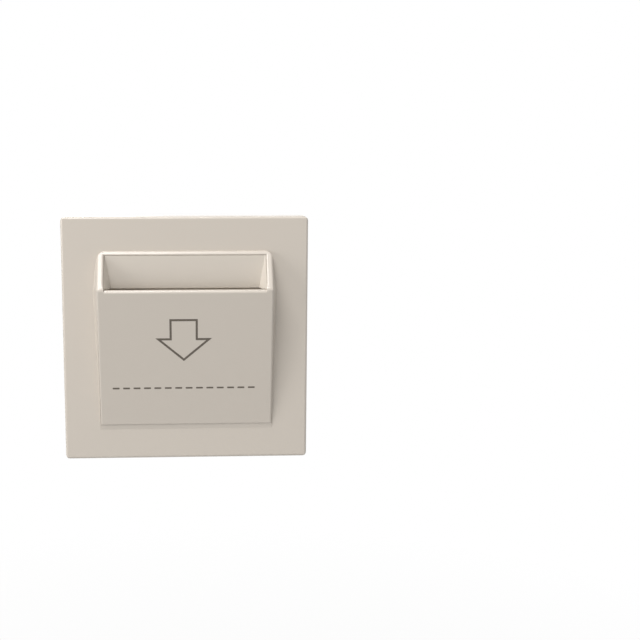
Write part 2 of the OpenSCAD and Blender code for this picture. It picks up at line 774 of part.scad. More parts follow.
module module_base() {
    cell_z = cover_high_z + slip + cell_wall;
    arm_y = base_depth - latch_root;
    color(shell_white) difference() {
        union() {
            difference() {
                along_y(plateau_y, base_depth) base_outline();
                along_y(base_floor_y, base_depth + 1) base_outline(base_wall);
            }
            // Terminal shelf behind the rear cover's top edge
            along_y(side_shelf_y - shelf_t, side_shelf_y) difference() {
                base_outline();
                cover_zone(slip);
            }
            along_y(side_shelf_y - shelf_t, cell_rim_y) difference() {
                translate([-terminal_half, cover_low_z])
                    square([2 * terminal_half, terminal_top_z - cover_low_z]);
                cover_zone(slip);
            }
            // Wall under the middle terminal block's top
            along_y(base_floor_y, side_shelf_y) translate([-terminal_half, terminal_top_z - base_wall])
                square([2 * terminal_half, base_wall]);
            along_y(base_floor_y - eps, board_y) for (p = post_places) translate(p) circle(d = post_d);
            along_y(base_floor_y - eps, board_y - post_set)
                for (p = module_screw_places) translate(p) circle(d = post_d);
            // Snap arms for the rear cover
            at_latches() {
                translate([-latch_arm_in, arm_y, -latch_w / 2])
                    cube([latch_arm_t, module_depth - latch_set - arm_y, latch_w]);
                translate([latch_arm_t - latch_arm_in - snug, latch_ledge_y + snug, -latch_w / 2])
                    cube([latch_hook[0], latch_hook[1], latch_w]);
            }
        }
        // Middle cells, their wire entries and the room under them
        for (k = [-1:1]) translate([k * wire_pitch, 0, 0]) {
            along_y(cell_floor_y, cell_rim_y + 1)
                translate([-cell_w / 2, cell_z]) square([cell_w, terminal_top_z - 1 - cell_z]);
            along_y(base_floor_y, cell_rim_y) translate([0, wire_mid_z]) circle(d = wire_d);
        }
        along_y(side_shelf_y - shelf_t - 1, cell_floor_y - shelf_t)
            translate([-terminal_half + 1, cell_z])
                square([2 * terminal_half - 2, terminal_top_z - base_wall - cell_z]);
        along_y(base_floor_y, side_shelf_y + 1)
            for (side = [-1, 1]) translate([side * wire_side_x, wire_side_z]) circle(d = wire_d);
        // Room for the blocks and the screw heads
        for (i = [0:2]) at_terminal(i) {
            half = screw_head_d / 2 + head_room;
            mid = terminals[i][3] - block_len / 2;
            translate([-half, mid - half, block_top]) cube([2 * half, cell_rim_y, head_travel]);
            translate([-block_w / 2 - slip, mid - block_len / 2 - slip, -block_top - slip])
                cube([block_w + 2 * slip, block_len + 2 * slip, 2 * block_top + 2 * slip]);
        }
        along_y(plateau_y - 1, base_floor_y + 1) translate([link_x, link_z]) square(link_gap, center = true);
        along_y(plateau_y - 1, board_y - 2 * post_set)
            for (p = module_screw_places) translate(p) circle(d = module_screw_d + snug);
        along_y(base_floor_y + free, board_y + 1)
            for (p = post_places) translate(p) circle(d = board_screw_d + snug);
    }
}

module module_screws() {
    length = board_y - 2 * post_set - free - plateau_front;
    color(steel) for (p = module_screw_places)
        translate([p[0], plateau_front, p[1]]) panhead(module_screw_d, length, small_head_d, small_head_h);
}

// Outline of the rear cover with its corner blocks, corner tabs and vent notches
module cover_outline() {
    difference() {
        union() {
            intersection() {
                circle(module_r);
                square([2 * module_half, 4 * module_r], center = true);
                cover_zone();
            }
            for (side = [0, 1]) mirror([side, 0]) {
                translate([block_x - block_w_cover, block_low_z])
                    square([block_w_cover, block_top_z - block_low_z]);
                rotate(-corner_tab_turn) translate([cover_inner_r, -corner_tab_w / 2])
                    square([module_r + corner_tab_out - cover_inner_r, corner_tab_w]);
            }
        }
        for (side = [0, 1]) mirror([side, 0])
            for (z = notch_z)
                translate([module_half - notch_d, z - notch_w / 2]) square([notch_d + 2, notch_w]);
        for (a = concat(notch_angles, [side_notch_turn, -side_notch_turn]))
            rotate(a) translate([-notch_w / 2, -module_r - 2]) square([notch_w, notch_d + 2]);
    }
}

module rear_cover() {
    room = latch_w + 3 * slip;
    color(shell_white) difference() {
        along_y(cover_y, module_depth) cover_outline();
        along_y(cover_y - 1, module_depth - cover_t) intersection() {
            circle(cover_inner_r);
            translate([0, -cover_edge]) cover_zone();
        }
        at_latches() {
            translate([-latch_room / 2, latch_ledge_y, -room / 2]) cube([latch_room, module_depth, room]);
            translate([-latch_room / 2, cover_y - 1, -room / 2])
                cube([latch_room / 2 + latch_arm_t - latch_arm_in + slip, module_depth, room]);
        }
    }
}

// Brass clamp with a wire channel along Y and a threaded top
module terminal_block(i) {
    y0 = terminals[i][3] - block_len;
    color(brass) at_terminal(i) difference() {
        translate([-block_w / 2, y0, -block_top]) cube([block_w, block_len, 2 * block_top]);
        translate([-channel_half, y0 + block_wall, -channel_half]) cube([channel_w, block_len, channel_w]);
        translate([0, y0 + block_len / 2, 0]) cylinder(d = screw_d + snug, h = 2 * block_top);
    }
}

module pressure_pad(i) {
    mid = terminals[i][3] - block_len / 2;
    color(steel) at_terminal(i)
        translate([-channel_half + free, mid - channel_half + slip, pad_rest])
            cube([channel_w - 2 * free, channel_w, pad_t]);
}

module terminal_screw(i) {
    mid = terminals[i][3] - block_len / 2;
    tip = pad_rest + pad_t + eps;
    color(brass) at_terminal(i) translate([0, mid, 0]) difference() {
        union() {
            translate([0, 0, tip]) cylinder(d = screw_d, h = head_seat - tip + eps);
            translate([0, 0, head_seat]) cylinder(d = screw_head_d, h = screw_head_h);
        }
        translate([-screw_head_d, -screw_slot[0] / 2, head_seat + screw_head_h - screw_slot[1]])
            cube([2 * screw_head_d, screw_slot[0], screw_head_h]);
    }
}

module terminal_block_line_in() { terminal_block(0); }
module terminal_block_line_out() { terminal_block(1); }
module terminal_block_neutral() { terminal_block(2); }
module pressure_pad_line_in() { pressure_pad(0); }
module pressure_pad_line_out() { pressure_pad(1); }
module pressure_pad_neutral() { pressure_pad(2); }
module terminal_screw_line_in() { terminal_screw(0); }
module terminal_screw_line_out() { terminal_screw(1); }
module terminal_screw_neutral() { terminal_screw(2); }

// Brass feet between the terminal blocks and the main board
module bus_bars() {
    color(brass) for (i = [0:2]) at_terminal(i)
        along_y(board_rear, terminals[i][3] - block_len)
            translate([0, -block_top / 2]) square([bus_bar_w, bus_bar_h], center = true);
}

module main_board() {
    color(board_green) along_y(board_y, board_rear) difference() {
        intersection() {
            circle(board_r);
            translate([0, -module_r + terminal_top_z - base_wall - board_play])
                square([2 * (module_half - base_wall - board_play), 2 * module_r], center = true);
        }
        for (side = [-1, 1])
            translate([side * slot_spacing / 2, 0]) circle(screw_clear_r + base_wall + board_play);
        for (p = post_places) translate(p) circle(d = board_screw_d + slip);
        reader_link_holes();
    }
}

module board_screws() {
    color(steel) for (p = post_places)
        translate([p[0], board_rear, p[1]]) rotate([180, 0, 0])
            panhead(board_screw_d, board_rear - base_floor_y - free - slip, small_head_d, small_head_h);
}

// Relay parts are placed from the middle of the relay's foot on the main board
module at_relay() {
    translate([relay_x, board_rear, relay_z]) children();
}

module relay_base() {
    color(dark) at_relay() along_y(0, relay_floor) square(relay_in, center = true);
}

// Copper winding between the two flanges of its bobbin
module relay_coil() {
    color(copper) at_relay() translate([winding_x, winding_y, winding_low_z]) {
        cylinder(r = winding_r - flange_r_step, h = winding_len);
        for (z = [0, winding_len - 1]) translate([0, 0, z]) cylinder(r = winding_r, h = 1);
    }
}

// Steel bracket under and behind the coil, whose edge carries the armature
module relay_yoke() {
    foot_z = winding_low_z - snug - yoke_t;
    color(steel) at_relay() translate([winding_x - yoke_w / 2, 0, foot_z]) {
        translate([0, relay_floor, 0]) cube([yoke_w, yoke_y + yoke_t - relay_floor, yoke_t]);
        translate([0, yoke_y, 0]) cube([yoke_w, yoke_t, arm_z - snug - foot_z]);
    }
}

module relay_armature() {
    color(steel) at_relay()
        translate([arm_x, winding_y - winding_r + 1, arm_z]) cube(arm_size);
}

// Fixed contact post beside the coil
module relay_contacts() {
    contact_z = arm_z - contact_gap;
    color(brass) at_relay() {
        translate([contact_x, relay_floor, contact_z - contact_t])
            cube([contact_w, contact_reach, contact_t]);
        translate([contact_x, relay_floor, winding_low_z])
            cube([contact_w, contact_t, contact_z - winding_low_z]);
    }
}

module relay_case() {
    color(dark) at_relay() difference() {
        along_y(0, relay_d) bead(relay_w, relay_h, relay_wall);
        along_y(-1, relay_d - relay_wall)
            square([relay_w - 2 * relay_wall, relay_h - 2 * relay_wall], center = true);
    }
}

module power_module() {
    color(dark) along_y(board_rear, board_rear + power_size[2])
        translate(power_place) bead(power_size[0], power_size[1], 1);
}

module smoothing_capacitor() {
    color(dark) along_y(board_rear, board_rear + smoothing_size[1])
        translate(smoothing_place) circle(d = smoothing_size[0]);
}

module film_capacitor() {
    color(brass) along_y(board_rear, board_rear + film_size[2])
        translate(film_place) bead(film_size[0], film_size[1], 1);
}

module varistor() {
    color("steelblue") translate([varistor_place[0], board_rear + varistor_size[0] / 2, varistor_place[1]])
        cylinder(d = varistor_size[0], h = varistor_size[1], center = true);
}

module fuse() {
    color(steel) translate([fuse_place[0], board_rear + fuse_size[0] / 2, fuse_place[1]]) rotate([0, 90, 0])
        cylinder(d = fuse_size[0], h = fuse_size[1], center = true);
}

module control_chip() {
    color(dark) along_y(board_y - chip_size[2], board_y)
        translate(chip_place) square([chip_size[0], chip_size[1]], center = true);
}

front_panel();
card_tray();
tray_screws();
mounting_plate();
antenna_board();
antenna_coil();
link_header();
link_pins();
module_base();
module_screws();
rear_cover();
terminal_block_line_in();
terminal_block_line_out();
terminal_block_neutral();
pressure_pad_line_in();
pressure_pad_line_out();
pressure_pad_neutral();
terminal_screw_line_in();
terminal_screw_line_out();
terminal_screw_neutral();
bus_bars();
main_board();
board_screws();
relay_base();
relay_coil();
relay_yoke();
relay_armature();
relay_contacts();
relay_case();
power_module();
smoothing_capacitor();
film_capacitor();
varistor();
fuse();
control_chip();
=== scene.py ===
import bpy
import bmesh
import json
import math
from mathutils import Matrix, Vector
from mathutils.bvhtree import BVHTree


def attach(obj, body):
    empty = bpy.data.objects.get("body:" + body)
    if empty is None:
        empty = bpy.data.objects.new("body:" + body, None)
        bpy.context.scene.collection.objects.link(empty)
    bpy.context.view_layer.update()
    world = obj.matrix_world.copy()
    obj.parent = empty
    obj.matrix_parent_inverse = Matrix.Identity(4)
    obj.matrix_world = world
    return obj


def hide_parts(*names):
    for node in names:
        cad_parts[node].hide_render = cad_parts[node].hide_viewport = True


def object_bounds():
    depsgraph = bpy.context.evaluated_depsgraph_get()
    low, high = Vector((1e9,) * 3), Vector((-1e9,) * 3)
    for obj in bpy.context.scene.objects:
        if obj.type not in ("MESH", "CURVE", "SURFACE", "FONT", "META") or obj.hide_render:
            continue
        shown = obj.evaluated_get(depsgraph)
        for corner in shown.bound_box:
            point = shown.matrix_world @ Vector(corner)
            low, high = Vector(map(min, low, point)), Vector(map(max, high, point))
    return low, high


# Hotel key card switch: the looks of a moulded wall plate with a card pocket, seen from the front.
# X is right, Y goes into the wall, Z is up, in metres.

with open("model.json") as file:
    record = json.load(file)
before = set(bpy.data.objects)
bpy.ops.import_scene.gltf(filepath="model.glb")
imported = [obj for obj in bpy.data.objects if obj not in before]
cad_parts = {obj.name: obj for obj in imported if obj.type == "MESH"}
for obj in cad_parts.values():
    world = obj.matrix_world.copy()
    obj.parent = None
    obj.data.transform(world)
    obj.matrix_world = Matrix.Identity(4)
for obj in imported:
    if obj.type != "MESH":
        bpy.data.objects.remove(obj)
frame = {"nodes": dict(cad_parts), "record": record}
cadLow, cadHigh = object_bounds()
record = frame["record"]
slotOf = {row["node"]: row["material_slot"] for row in record["subparts"]}
bodyOf = {node: body for body, nodes in record["behaviour"]["bodies"].items() for node in nodes}
mm = 0.001
print("frame loaded:", len(frame["nodes"]), "nodes")

# Camera: level with the photograph's view, the plate left of the middle
cameraPlan = {
    "target": Vector((0, -8, 0)) * mm,
    "distance": 400 * mm,
    "elevation": 9.3,
    "lens": 63.8,
    "sensor": 36,
    "imageSize": 640,
    "targetPixel": (185.0, 338.9),
    "sideShift": 0.12,
}


def placeCamera(plan):
    camera = bpy.data.objects.new("viewCamera", bpy.data.cameras.new("viewCamera"))
    bpy.context.scene.collection.objects.link(camera)
    camera.data.lens = plan["lens"]
    camera.data.sensor_width = plan["sensor"]
    rise = math.radians(plan["elevation"])
    back = Vector((0, -math.cos(rise), math.sin(rise)))
    camera.location = plan["target"] + back * plan["distance"]
    # Part of the sideways offset is lens shift, and a small turn of the camera gives the rest
    half = plan["imageSize"] / 2
    across = (half - plan["targetPixel"][0]) / plan["imageSize"]
    turn = math.atan((across - plan["sideShift"]) * plan["sensor"] / plan["lens"])
    aim = (-back).to_track_quat("-Z", "Y").to_matrix()
    camera.rotation_euler = (Matrix.Rotation(-turn, 3, "Z") @ aim).to_euler()
    camera.data.shift_x = plan["sideShift"]
    camera.data.shift_y = (plan["targetPixel"][1] - half) / plan["imageSize"]
    camera.data.clip_start = 0.01
    bpy.context.scene.camera = camera


placeCamera(cameraPlan)

# Light: one broad lamp high on the left in front, a weak one far left, one behind, and an even sky
lightPlan = {
    "key": {"from": (-0.24, -0.39, 0.78), "size": 0.55, "watts": 7.2, "tint": (1.0, 0.985, 0.97)},
    "side": {"from": (-0.9, -0.36, 0.1), "size": 0.45, "watts": 3.0, "tint": (1.0, 0.99, 0.98)},
    "rear": {"from": (-0.45, 1.2, 0.45), "size": 0.8, "watts": 9.6, "tint": (1.0, 0.985, 0.965)},
    "sky": (0.47, 0.465, 0.455),
}


def hangLamp(name, plan):
    lamp = bpy.data.lights.new(name, "AREA")
    lamp.shape = "DISK"
    lamp.size = plan["size"]
    lamp.energy = plan["watts"]
    lamp.color = plan["tint"]
    holder = bpy.data.objects.new(name, lamp)
    bpy.context.scene.collection.objects.link(holder)
    holder.location = plan["from"]
    holder.rotation_euler = (-Vector(plan["from"])).to_track_quat("-Z", "Y").to_euler()


for lampName in ("key", "side", "rear"):
    hangLamp(lampName + "Lamp", lightPlan[lampName])


def seenDirectly(nodes, links):
    # 1 for what the camera, a reflection or a see-through ray sees
    path = nodes.new("ShaderNodeLightPath")
    glossy = nodes.new("ShaderNodeMath")
    glossy.operation = "MAXIMUM"
    links.new(path.outputs["Is Camera Ray"], glossy.inputs[0])
    links.new(path.outputs["Is Glossy Ray"], glossy.inputs[1])
    passed = nodes.new("ShaderNodeMath")
    passed.operation = "MAXIMUM"
    links.new(glossy.outputs[0], passed.inputs[0])
    links.new(path.outputs["Is Transmission Ray"], passed.inputs[1])
    return passed.outputs[0]


def paintWorld(sky):
    world = bpy.data.worlds.new("studio")
    bpy.context.scene.world = world
    world.use_nodes = True
    nodes, links = world.node_tree.nodes, world.node_tree.links
    nodes.clear()
    ambient = nodes.new("ShaderNodeBackground")
    ambient.inputs["Color"].default_value = (*sky, 1)
    white = nodes.new("ShaderNodeBackground")
    white.inputs["Color"].default_value = (1, 1, 1, 1)
    choose = nodes.new("ShaderNodeMixShader")
    links.new(seenDirectly(nodes, links), choose.inputs[0])
    links.new(ambient.outputs[0], choose.inputs[1])
    links.new(white.outputs[0], choose.inputs[2])
    out = nodes.new("ShaderNodeOutputWorld")
    links.new(choose.outputs[0], out.inputs["Surface"])


paintWorld(lightPlan["sky"])
bpy.context.scene.view_settings.view_transform = "Standard"

# Floor well below the plate, which hangs as on its wall; it fades out before its edge
floorPlan = {"drop": 160 * mm, "radius": 0.45, "segments": 96, "fadeFrom": 0.25, "fadeEnd": 0.441,
             "colour": (0.6, 0.6, 0.6, 1), "glow": 0.9}


def layFloor(plan):
    mesh = bpy.data.meshes.new("paleFloor")
    bm = bmesh.new()
    bmesh.ops.create_circle(bm, cap_ends=True, segments=plan["segments"], radius=plan["radius"])
    bmesh.ops.translate(bm, verts=bm.verts, vec=(0, 0, cadLow.z - plan["drop"]))
    bm.to_mesh(mesh)
    bm.free()
    floor = bpy.data.objects.new("paleFloor", mesh)
    bpy.context.scene.collection.objects.link(floor)
    paint = bpy.data.materials.new("paleFloor")
    paint.use_nodes = True
    nodes, links = paint.node_tree.nodes, paint.node_tree.links
    nodes.clear()
    matt = nodes.new("ShaderNodeBsdfDiffuse")
    matt.inputs["Color"].default_value = plan["colour"]
    glow = nodes.new("ShaderNodeEmission")
    weight = nodes.new("ShaderNodeMath")
    weight.operation = "MULTIPLY"
    weight.inputs[1].default_value = plan["glow"]
    links.new(seenDirectly(nodes, links), weight.inputs[0])
    blend = nodes.new("ShaderNodeMixShader")
    links.new(weight.outputs[0], blend.inputs[0])
    links.new(matt.outputs[0], blend.inputs[1])
    links.new(glow.outputs[0], blend.inputs[2])
    # Distance from the middle decides where the floor fades into the white
    coords = nodes.new("ShaderNodeTexCoord")
    away = nodes.new("ShaderNodeVectorMath")
    away.operation = "LENGTH"
    links.new(coords.outputs["Object"], away.inputs[0])
    fade = nodes.new("ShaderNodeMapRange")
    fade.inputs["From Min"].default_value = plan["fadeFrom"]
    fade.inputs["From Max"].default_value = plan["fadeEnd"]
    links.new(away.outputs["Value"], fade.inputs["Value"])
    clear = nodes.new("ShaderNodeBsdfTransparent")
    edge = nodes.new("ShaderNodeMixShader")
    links.new(fade.outputs["Result"], edge.inputs[0])
    links.new(blend.outputs[0], edge.inputs[1])
    links.new(clear.outputs[0], edge.inputs[2])
    out = nodes.new("ShaderNodeOutputMaterial")
    links.new(edge.outputs[0], out.inputs["Surface"])
    floor.data.materials.append(paint)


layFloor(floorPlan)
print("camera, lamps and floor in place")


# Shader node groups shared by the finishes
def startGroup(name, inputs, outputs):
    group = bpy.data.node_groups.new(name, "ShaderNodeTree")
    for label, kind, value in inputs:
        socket = group.interface.new_socket(label, in_out="INPUT", socket_type="NodeSocket" + kind)
        socket.default_value = value
    for label, kind in outputs:
        group.interface.new_socket(label, in_out="OUTPUT", socket_type="NodeSocket" + kind)
    source = group.nodes.new("NodeGroupInput")
    sink = group.nodes.new("NodeGroupOutput")
    return group, source, sink


def noiseNode(tree, scaleSocket, coords, detail, roughness=0.5):
    noise = tree.nodes.new("ShaderNodeTexNoise")
    noise.inputs["Detail"].default_value = detail
    noise.inputs["Roughness"].default_value = roughness
    tree.links.new(coords, noise.inputs["Vector"])
    if isinstance(scaleSocket, (int, float)):
        noise.inputs["Scale"].default_value = scaleSocket
    else:
        tree.links.new(scaleSocket, noise.inputs["Scale"])
    return noise.outputs["Fac"]


def mathNode(tree, operation, first, second=None, third=None):
    node = tree.nodes.new("ShaderNodeMath")
    node.operation = operation
    for index, value in enumerate((first, second, third)):
        if value is None:
            continue
        if isinstance(value, (int, float)):
            node.inputs[index].default_value = value
        else:
            tree.links.new(value, node.inputs[index])
    return node.outputs[0]


def mixColour(tree, factor, first, second, blendType="MIX"):
    node = tree.nodes.new("ShaderNodeMix")
    node.data_type = "RGBA"
    node.blend_type = blendType
    for index, value in ((0, factor), (6, first), (7, second)):
        if isinstance(value, (int, float)):
            node.inputs[index].default_value = value
        elif isinstance(value, tuple):
            node.inputs[index].default_value = value
        else:
            tree.links.new(value, node.inputs[index])
    return node.outputs[2]


skinPlan = {
    "cloudScale": 38.0,
    "dustScale": 900.0,
    "patchScale": 140.0,
    "dustTint": (0.23, 0.19, 0.15, 1),
    "dustDulls": 0.4,
    # Near-black tint and falloff of the painted shade in deep holes
    "paintedShadeTint": (0.02, 0.018, 0.015, 1),
    "paintedShadePower": 2.5,
    "creaseSamples": 8,
}


def shelteredMask(group, reach):
    # 0 in the open, towards 1 where other surfaces stand close by
    nearby = group.nodes.new("ShaderNodeAmbientOcclusion")
    nearby.samples = skinPlan["creaseSamples"]
    group.links.new(reach, nearby.inputs["Distance"])
    return mathNode(group, "SUBTRACT", 1.0, nearby.outputs["AO"])


def buildMouldedSkin(plan):
    # Moulded plastic: faint clouding, fine spark grain, uneven gloss, dust in the creases
    # and painted shade that darkens deep holes towards near black
    group, source, sink = startGroup(
        "mouldedSkin",
        [("Colour", "Color", (0.8, 0.8, 0.8, 1)), ("Cloud", "Float", 0.02), ("Grain Scale", "Float", 1500.0),
         ("Gloss", "Float", 0.3), ("Gloss Range", "Float", 0.08), ("Dust", "Float", 0.3),
         ("Dust Reach", "Float", 0.0015), ("Painted Shade", "Float", 0.0), ("Painted Shade Reach", "Float", 0.006)],
        [("Colour", "Color"), ("Roughness", "Float"), ("Height", "Float")])
    coords = group.nodes.new("ShaderNodeTexCoord").outputs["Object"]
    cloud = mathNode(group, "SUBTRACT", noiseNode(group, plan["cloudScale"], coords, 4), 0.5)
    shade = mathNode(group, "MULTIPLY_ADD", cloud, source.outputs["Cloud"], 1.0)
    grey = group.nodes.new("ShaderNodeCombineColor")
    for index in range(3):
        group.links.new(shade, grey.inputs[index])
    tinted = mixColour(group, 1.0, source.outputs["Colour"], grey.outputs[0], "MULTIPLY")
    crease = shelteredMask(group, source.outputs["Dust Reach"])
    patchy = mathNode(group, "MULTIPLY", crease, noiseNode(group, plan["dustScale"], coords, 3))
    settled = mathNode(group, "MULTIPLY", patchy, source.outputs["Dust"])
    dusty = mixColour(group, settled, tinted, plan["dustTint"])
    # Painted shade: a wide occlusion mask darkens deep holes and windows towards near black
    holeShadeMask = shelteredMask(group, source.outputs["Painted Shade Reach"])
    depth = mathNode(group, "POWER", holeShadeMask, plan["paintedShadePower"])
    paintedHoleShade = mathNode(group, "MULTIPLY", depth, source.outputs["Painted Shade"])
    group.links.new(mixColour(group, paintedHoleShade, dusty, plan["paintedShadeTint"]), sink.inputs["Colour"])
    fine = noiseNode(group, source.outputs["Grain Scale"], coords, 2, 0.6)
    patches = mathNode(group, "SUBTRACT", noiseNode(group, plan["patchScale"], coords, 3), 0.5)
    rough = mathNode(group, "MULTIPLY_ADD", patches, source.outputs["Gloss Range"], source.outputs["Gloss"])
    dulled = mathNode(group, "MULTIPLY_ADD", settled, plan["dustDulls"], rough)
    group.links.new(dulled, sink.inputs["Roughness"])
    group.links.new(fine, sink.inputs["Height"])
    return group


toolPlan = {"stretch": (1, 0.12, 1), "stainScale": 420.0, "stainPower": 2.0, "lineDulls": 0.16,
            "stainDulls": 0.3}


def buildTurnedMetal(plan):
    # Plated or turned metal: fine tool lines and stains
    group, source, sink = startGroup(
        "turnedMetal",
        [("Colour", "Color", (0.7, 0.6, 0.3, 1)), ("Stain", "Color", (0.3, 0.2, 0.1, 1)),
         ("Stain Amount", "Float", 0.3), ("Line Scale", "Float", 2600.0), ("Gloss", "Float", 0.3)],
        [("Colour", "Color"), ("Roughness", "Float"), ("Height", "Float")])
    coords = group.nodes.new("ShaderNodeTexCoord").outputs["Object"]
    stretch = group.nodes.new("ShaderNodeMapping")
    stretch.inputs["Scale"].default_value = plan["stretch"]
    group.links.new(coords, stretch.inputs["Vector"])
    lines = noiseNode(group, source.outputs["Line Scale"], stretch.outputs[0], 2)
    stains = noiseNode(group, plan["stainScale"], coords, 4, 0.6)
    patches = mathNode(group, "POWER", stains, plan["stainPower"])
    spread = mathNode(group, "MULTIPLY", patches, source.outputs["Stain Amount"])
    stained = mixColour(group, spread, source.outputs["Colour"], source.outputs["Stain"])
    group.links.new(stained, sink.inputs["Colour"])
    worn = mathNode(group, "MULTIPLY_ADD", lines, plan["lineDulls"], source.outputs["Gloss"])
    dulled = mathNode(group, "MULTIPLY_ADD", spread, plan["stainDulls"], worn)
    group.links.new(dulled, sink.inputs["Roughness"])
    group.links.new(lines, sink.inputs["Height"])
    return group


mouldedSkin = buildMouldedSkin(skinPlan)
turnedMetal = buildTurnedMetal(toolPlan)

# Depth of the fine relief, and the thin clear layer on the glossy front
reliefPlans = {
    "moulded": {"strength": 0.12, "depth": 0.03 * mm},
    "turned": {"strength": 0.25, "depth": 0.02 * mm},
    "mask": {"strength": 0.3, "depth": 0.03 * mm},
}
coatPlan = {"front": 0.35, "board": 0.3, "roughness": 0.14}


def addRelief(tree, height, relief, shader):
    bump = tree.nodes.new("ShaderNodeBump")
    bump.inputs["Strength"].default_value = relief["strength"]
    bump.inputs["Distance"].default_value = relief["depth"]
    tree.links.new(height, bump.inputs["Height"])
    tree.links.new(bump.outputs["Normal"], shader.inputs["Normal"])


def startFinish(name):
    paint = bpy.data.materials.new(name)
    paint.use_nodes = True
    return paint, paint.node_tree, paint.node_tree.nodes["Principled BSDF"]


def finishFromGroup(name, group, values, relief, metallic=0.0, coat=0.0):
    paint, tree, shader = startFinish(name)
    shader.inputs["Metallic"].default_value = metallic
    shader.inputs["Coat Weight"].default_value = coat
    shader.inputs["Coat Roughness"].default_value = coatPlan["roughness"]
    effect = tree.nodes.new("ShaderNodeGroup")
    effect.node_tree = group
    for label, value in values.items():
        effect.inputs[label].default_value = value
    tree.links.new(effect.outputs["Colour"], shader.inputs["Base Color"])
    tree.links.new(effect.outputs["Roughness"], shader.inputs["Roughness"])
    addRelief(tree, effect.outputs["Height"], relief, shader)
    return paint


# The plate, base and cover get painted shade in their deep holes
plasticPlans = {
    "front_plastic": {"Colour": (0.585, 0.535, 0.475, 1), "Cloud": 0.012, "Grain Scale": 1300.0, "Gloss": 0.3,
                      "Gloss Range": 0.04, "Dust": 0.1},
    "plate_plastic": {"Colour": (0.62, 0.575, 0.52, 1), "Cloud": 0.06, "Grain Scale": 1500.0, "Gloss": 0.38,
                      "Gloss Range": 0.14, "Dust": 0.55, "Painted Shade": 0.9},
    "base_plastic": {"Colour": (0.72, 0.69, 0.65, 1), "Cloud": 0.04, "Grain Scale": 1500.0, "Gloss": 0.36,
                     "Gloss Range": 0.12, "Dust": 0.55, "Painted Shade": 1.0},
    "cover_plastic": {"Colour": (0.56, 0.53, 0.49, 1), "Cloud": 0.04, "Grain Scale": 2400.0, "Gloss": 0.46,
                      "Gloss Range": 0.10, "Dust": 0.5, "Painted Shade": 1.0},
    "black_plastic": {"Colour": (0.018, 0.018, 0.02, 1), "Cloud": 0.2, "Grain Scale": 2600.0, "Gloss": 0.48,
                      "Gloss Range": 0.1, "Dust": 0.2},
    "capacitor_sleeve": {"Colour": (0.012, 0.016, 0.03, 1), "Cloud": 0.2, "Grain Scale": 900.0, "Gloss": 0.3,
                         "Gloss Range": 0.1, "Dust": 0.2},
    "film_yellow": {"Colour": (0.52, 0.31, 0.04, 1), "Cloud": 0.16, "Grain Scale": 800.0, "Gloss": 0.32,
                    "Gloss Range": 0.12, "Dust": 0.2},
    "varistor_blue": {"Colour": (0.03, 0.09, 0.25, 1), "Cloud": 0.16, "Grain Scale": 800.0, "Gloss": 0.28,
                      "Gloss Range": 0.12, "Dust": 0.2},
}
metalPlans = {
    "brass": {"Colour": (0.62, 0.40, 0.16, 1), "Stain": (0.20, 0.09, 0.03, 1), "Stain Amount": 0.7,
              "Line Scale": 2400.0, "Gloss": 0.24},
    "screw_brass": {"Colour": (0.83, 0.62, 0.25, 1), "Stain": (0.30, 0.17, 0.05, 1), "Stain Amount": 0.55,
                    "Line Scale": 3000.0, "Gloss": 0.2},
    "screw_steel": {"Colour": (0.62, 0.62, 0.63, 1), "Stain": (0.22, 0.2, 0.18, 1), "Stain Amount": 0.4,
                    "Line Scale": 3000.0, "Gloss": 0.26},
    "relay_steel": {"Colour": (0.52, 0.51, 0.5, 1), "Stain": (0.2, 0.18, 0.16, 1), "Stain Amount": 0.4,
                    "Line Scale": 1800.0, "Gloss": 0.32},
    "copper": {"Colour": (0.72, 0.33, 0.17, 1), "Stain": (0.25, 0.09, 0.04, 1), "Stain Amount": 0.5,
               "Line Scale": 2200.0, "Gloss": 0.3},
}
finishes = {}
for slotName, plan in plasticPlans.items():
    finishes[slotName] = finishFromGroup(slotName, mouldedSkin, plan, reliefPlans["moulded"],
                                         coat=coatPlan["front"] if slotName == "front_plastic" else 0.0)
for slotName, plan in metalPlans.items():
    finishes[slotName] = finishFromGroup(slotName, turnedMetal, plan, reliefPlans["turned"], metallic=1.0)

boardPlans = {
    "circuit_board": {"mask": (0.012, 0.075, 0.035, 1), "track": (0.03, 0.15, 0.06, 1),
                      "sheen": (0.02, 0.10, 0.045, 1)},
    "main_board_mask": {"mask": (0.006, 0.012, 0.022, 1), "track": (0.012, 0.022, 0.04, 1),
                        "sheen": (0.008, 0.015, 0.03, 1)},
}
boardNet = {"pitch": 330.0, "trackWidth": 0.06, "mottleScale": 260.0, "mottle": 0.35, "gloss": (0.2, 0.22)}


def boardFinish(name):
    # Solder mask over copper tracks, which show as a lighter net
    plan = boardPlans[name]
    paint, tree, shader = startFinish(name)
    shader.inputs["Coat Weight"].default_value = coatPlan["board"]
    coords = tree.nodes.new("ShaderNodeTexCoord").outputs["Object"]
    flat = tree.nodes.new("ShaderNodeMapping")
    flat.inputs["Rotation"].default_value = (math.radians(90), 0, 0)
    tree.links.new(coords, flat.inputs["Vector"])
    net = tree.nodes.new("ShaderNodeTexBrick")
    net.inputs["Scale"].default_value = boardNet["pitch"]
    net.inputs["Mortar Size"].default_value = boardNet["trackWidth"]
    net.inputs["Color1"].default_value = plan["mask"]
    net.inputs["Color2"].default_value = plan["mask"]
    net.inputs["Mortar"].default_value = plan["track"]
    tree.links.new(flat.outputs[0], net.inputs["Vector"])
    mottled = noiseNode(tree, boardNet["mottleScale"], coords, 3)
    mottle = mathNode(tree, "MULTIPLY", mottled, boardNet["mottle"])
    tree.links.new(mixColour(tree, mottle, net.outputs["Color"], plan["sheen"]), shader.inputs["Base Color"])
    tree.links.new(mathNode(tree, "MULTIPLY_ADD", mottled, *boardNet["gloss"]), shader.inputs["Roughness"])
    addRelief(tree, net.outputs["Fac"], reliefPlans["mask"], shader)
    return paint


